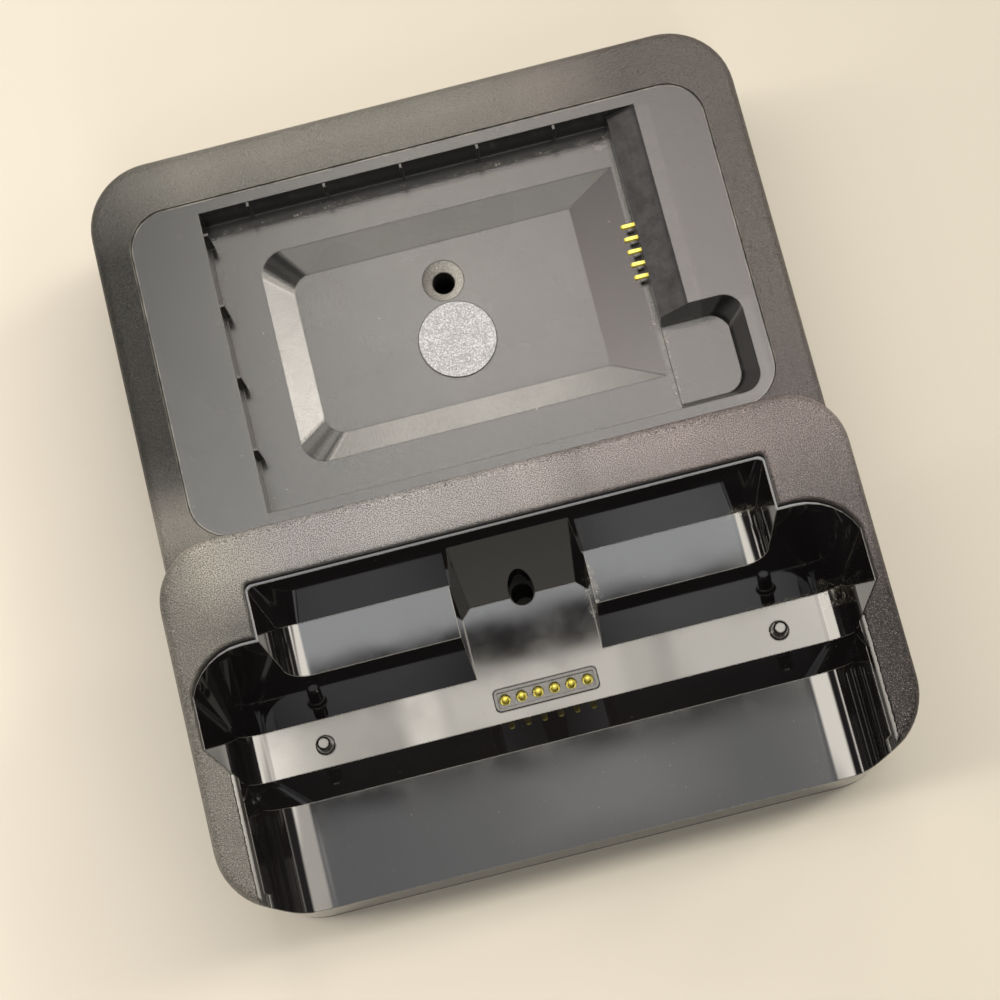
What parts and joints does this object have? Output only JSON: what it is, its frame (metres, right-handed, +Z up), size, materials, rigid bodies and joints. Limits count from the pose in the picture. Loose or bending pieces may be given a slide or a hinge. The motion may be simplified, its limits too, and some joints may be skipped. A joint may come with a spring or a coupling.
{
  "type": "handheld computer battery charger",
  "caption": "Desk charging cradle for a handheld computer: glossy docking slot with spring-pin connector and locating pegs, and a spare-battery bay with sprung contacts behind it.",
  "frame": {"origin": "bottom centre of the body's box, on the table that the rubber feet stand on", "axes": "+X to the right as the user faces the charger, +Y to the rear, +Z up"},
  "size_m": [0.1, 0.1152, 0.043],
  "materials": {
    "housing": "dark warm grey, spark-textured",
    "base": "black, finely textured",
    "gloss_insert": "polished near-black",
    "satin_insert": "satin dark grey",
    "pad": "pale silver-grey, fine speckle",
    "connector": "black satin",
    "gold": "gold-plated, polished",
    "board": "green solder mask",
    "inlet": "black moulding",
    "steel": "zinc-plated",
    "ribbon": "amber polyimide film",
    "socket": "cream moulding",
    "chip": "black epoxy",
    "inductor": "dark grey ferrite",
    "capacitor": "dark blue sleeve",
    "rubber_foot": "black matt rubber"
  },
  "bodies": {
    "charger": {"top_housing": "housing", "base_cover": "base", "cradle_insert": "gloss_insert", "battery_insert": "satin_insert", "round_pad": "pad", "connector_body": "connector", "contact_carrier": "connector", "main_board": "board", "power_inlet": "inlet", "inlet_pin": "steel", "contact_ribbon": "ribbon", "ribbon_socket": "socket", "charge_chip": "chip", "power_inductor": "inductor", "bulk_capacitor": "capacitor", "case_screws": "steel", "board_screws": "steel", "pogo_barrel_1": "gold", "pogo_barrel_2": "gold", "pogo_barrel_3": "gold", "pogo_barrel_4": "gold", "pogo_barrel_5": "gold", "pogo_barrel_6": "gold", "pogo_spring_1": "steel", "pogo_spring_2": "steel", "pogo_spring_3": "steel", "pogo_spring_4": "steel", "pogo_spring_5": "steel", "pogo_spring_6": "steel", "rubber_foot_1": "rubber_foot", "rubber_foot_2": "rubber_foot", "rubber_foot_3": "rubber_foot", "rubber_foot_4": "rubber_foot"},
    "pogo_pin_1": {"pogo_pin_1": "gold"},
    "pogo_pin_2": {"pogo_pin_2": "gold"},
    "pogo_pin_3": {"pogo_pin_3": "gold"},
    "pogo_pin_4": {"pogo_pin_4": "gold"},
    "pogo_pin_5": {"pogo_pin_5": "gold"},
    "pogo_pin_6": {"pogo_pin_6": "gold"},
    "battery_contact_1": {"battery_contact_1": "gold"},
    "battery_contact_2": {"battery_contact_2": "gold"},
    "battery_contact_3": {"battery_contact_3": "gold"},
    "battery_contact_4": {"battery_contact_4": "gold"},
    "battery_contact_5": {"battery_contact_5": "gold"}
  },
  "joints": [
    {"name": "pogo_pin_1_travel", "type": "slide", "parent": "charger", "child": "pogo_pin_1", "axis": [0, 0, -1], "range_m": [0, 0.0012], "stiffness_N_per_m": 400, "springref_m": -0.0008, "deforming": ["pogo_spring_1"]},
    {"name": "pogo_pin_2_travel", "type": "slide", "parent": "charger", "child": "pogo_pin_2", "axis": [0, 0, -1], "range_m": [0, 0.0012], "stiffness_N_per_m": 400, "springref_m": -0.0008, "deforming": ["pogo_spring_2"]},
    {"name": "pogo_pin_3_travel", "type": "slide", "parent": "charger", "child": "pogo_pin_3", "axis": [0, 0, -1], "range_m": [0, 0.0012], "stiffness_N_per_m": 400, "springref_m": -0.0008, "deforming": ["pogo_spring_3"]},
    {"name": "pogo_pin_4_travel", "type": "slide", "parent": "charger", "child": "pogo_pin_4", "axis": [0, 0, -1], "range_m": [0, 0.0012], "stiffness_N_per_m": 400, "springref_m": -0.0008, "deforming": ["pogo_spring_4"]},
    {"name": "pogo_pin_5_travel", "type": "slide", "parent": "charger", "child": "pogo_pin_5", "axis": [0, 0, -1], "range_m": [0, 0.0012], "stiffness_N_per_m": 400, "springref_m": -0.0008, "deforming": ["pogo_spring_5"]},
    {"name": "pogo_pin_6_travel", "type": "slide", "parent": "charger", "child": "pogo_pin_6", "axis": [0, 0, -1], "range_m": [0, 0.0012], "stiffness_N_per_m": 400, "springref_m": -0.0008, "deforming": ["pogo_spring_6"]},
    {"name": "battery_contact_1_travel", "type": "slide", "parent": "charger", "child": "battery_contact_1", "axis": [1, 0, 0], "range_m": [0, 0.0012], "stiffness_N_per_m": 400, "springref_m": -0.001},
    {"name": "battery_contact_2_travel", "type": "slide", "parent": "charger", "child": "battery_contact_2", "axis": [1, 0, 0], "range_m": [0, 0.0012], "stiffness_N_per_m": 400, "springref_m": -0.001},
    {"name": "battery_contact_3_travel", "type": "slide", "parent": "charger", "child": "battery_contact_3", "axis": [1, 0, 0], "range_m": [0, 0.0012], "stiffness_N_per_m": 400, "springref_m": -0.001},
    {"name": "battery_contact_4_travel", "type": "slide", "parent": "charger", "child": "battery_contact_4", "axis": [1, 0, 0], "range_m": [0, 0.0012], "stiffness_N_per_m": 400, "springref_m": -0.001},
    {"name": "battery_contact_5_travel", "type": "slide", "parent": "charger", "child": "battery_contact_5", "axis": [1, 0, 0], "range_m": [0, 0.0012], "stiffness_N_per_m": 400, "springref_m": -0.001}
  ]
}
